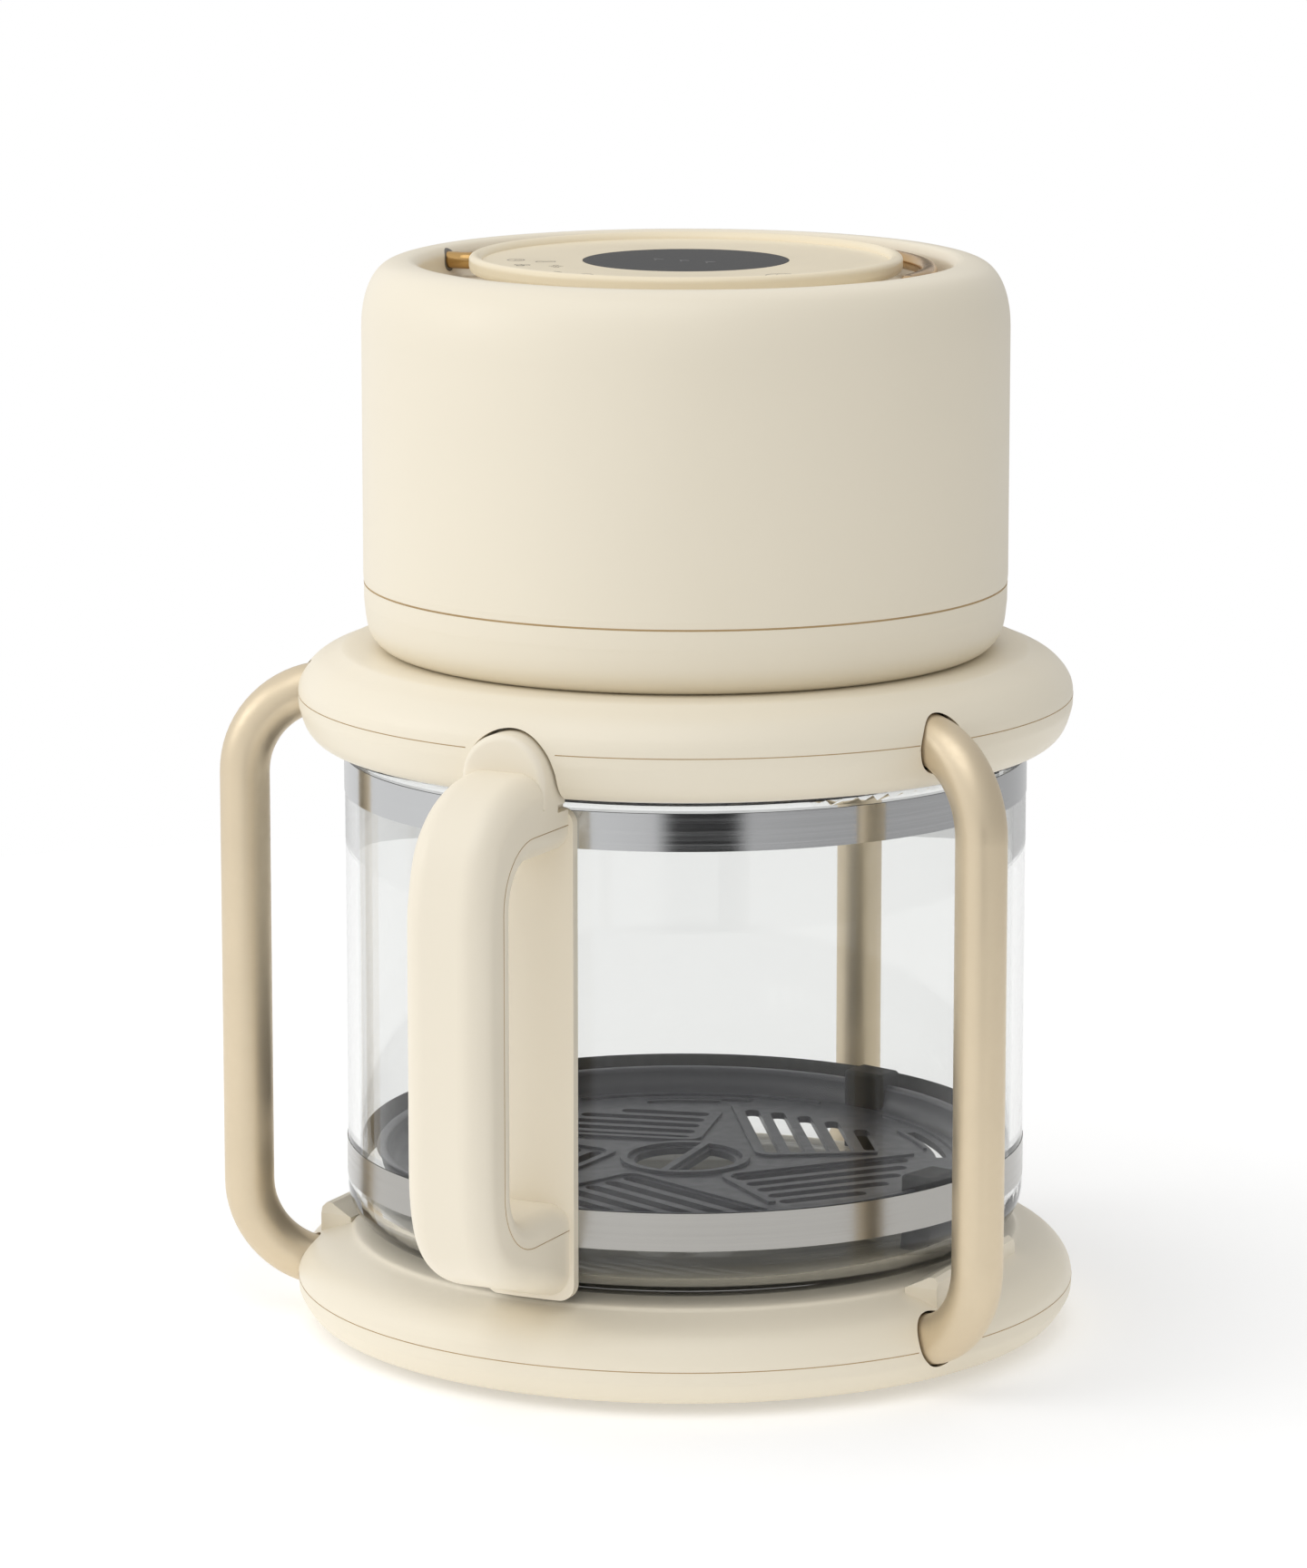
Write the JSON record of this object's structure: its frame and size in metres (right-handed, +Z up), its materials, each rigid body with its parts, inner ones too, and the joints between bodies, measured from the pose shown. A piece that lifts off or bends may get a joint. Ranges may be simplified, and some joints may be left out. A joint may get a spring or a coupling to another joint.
{
  "type": "glass air fryer",
  "caption": "Hot-air fryer: round base and collar joined by bent tube posts, a drum head with a top control disc and folding bail, and a glass bowl that pulls out by its handle.",
  "frame": {"origin": "centre of the base on the surface it stands on", "axes": "+Z up; the bowl's handle points towards -Y; +X to the right seen from the front"},
  "size_m": [0.272, 0.3178, 0.3445],
  "materials": {
    "ivory_plastic": "fine satin moulded",
    "panel_plastic": "smooth satin moulded",
    "champagne_metal": "satin champagne plated",
    "gold_metal": "polished pale gold plated",
    "polished_steel": "polished stainless",
    "clear_glass": "clear, polished",
    "black_coating": "satin non-stick coating on steel",
    "black_rubber": "matte silicone rubber",
    "grey_rubber": "matte silicone rubber",
    "black_gloss": "high gloss",
    "black_plastic": "moulded",
    "grey_plastic": "moulded glass-filled",
    "zinc_steel": "zinc plated",
    "motor_steel": "laminated steel can",
    "bright_aluminium": "bright rolled sheet",
    "heater_steel": "heat-darkened sheathed element",
    "mineral_wool": "pressed fibre pad",
    "circuit_board": "solder-masked board"
  },
  "bodies": {
    "frame": {"post_right": "champagne_metal", "post_left": "champagne_metal", "post_rear": "champagne_metal", "base_lower_cover": "ivory_plastic", "base_upper_cover": "ivory_plastic", "base_feet": "black_rubber", "base_screws": "zinc_steel", "base_frame": "zinc_steel", "base_post_clamps": "grey_plastic", "bowl_guide_rails": "ivory_plastic", "ring_upper_cover": "ivory_plastic", "ring_lower_cover": "ivory_plastic", "tab_pocket_liner": "ivory_plastic", "bowl_sensor": "black_plastic", "ring_frame": "zinc_steel", "ring_post_clamps": "grey_plastic", "bowl_seal": "grey_rubber", "heat_reflector": "bright_aluminium", "heater_coil": "heater_steel", "temperature_probe": "zinc_steel", "insulation_pad": "mineral_wool", "thermal_fuse": "black_plastic", "heater_guard": "polished_steel", "motor_plate": "zinc_steel", "plate_standoffs": "zinc_steel", "plate_screws": "zinc_steel", "motor_bracket": "zinc_steel", "fan_motor": "motor_steel", "power_board": "circuit_board", "board_standoffs": "grey_plastic", "head_shell": "ivory_plastic", "head_lower_trim": "ivory_plastic", "cord_gland": "black_rubber", "rear_vent_grille": "ivory_plastic", "control_panel": "panel_plastic", "display_window": "black_gloss", "display_module": "black_plastic", "touch_board": "circuit_board", "touch_board_spacers": "grey_plastic", "bail_bushes": "grey_plastic"},
    "bowl": {"glass_bowl": "clear_glass", "lower_band": "polished_steel", "upper_band": "polished_steel", "bowl_magnet": "zinc_steel", "handle_plate": "ivory_plastic", "grip_outer": "ivory_plastic", "grip_inner_cover": "ivory_plastic", "handle_screws": "zinc_steel"},
    "tray": {"crisper_tray": "black_coating", "tray_feet": "black_rubber"},
    "bail": {"bail_handle": "gold_metal"},
    "fan_rotor": {"fan_shaft": "polished_steel", "convection_fan": "bright_aluminium", "cooling_fan": "black_plastic", "fan_nut": "zinc_steel"}
  },
  "joints": [
    {"name": "bowl_slide", "type": "slide", "parent": "frame", "child": "bowl", "axis": [0, -1, 0], "range_m": [0, 0.26]},
    {"name": "tray_lift", "type": "slide", "parent": "bowl", "child": "tray", "axis": [0, 0, 1], "range_m": [0, 0.12]},
    {"name": "bail_hinge", "type": "hinge", "parent": "frame", "child": "bail", "pos_m": [0, 0, 0.3385], "axis": [1, 0, 0], "range_deg": [0, 95]},
    {"name": "fan_spin", "type": "hinge", "parent": "frame", "child": "fan_rotor", "pos_m": [0, 0, 0.25], "axis": [0, 0, 1], "continuous": true}
  ]
}
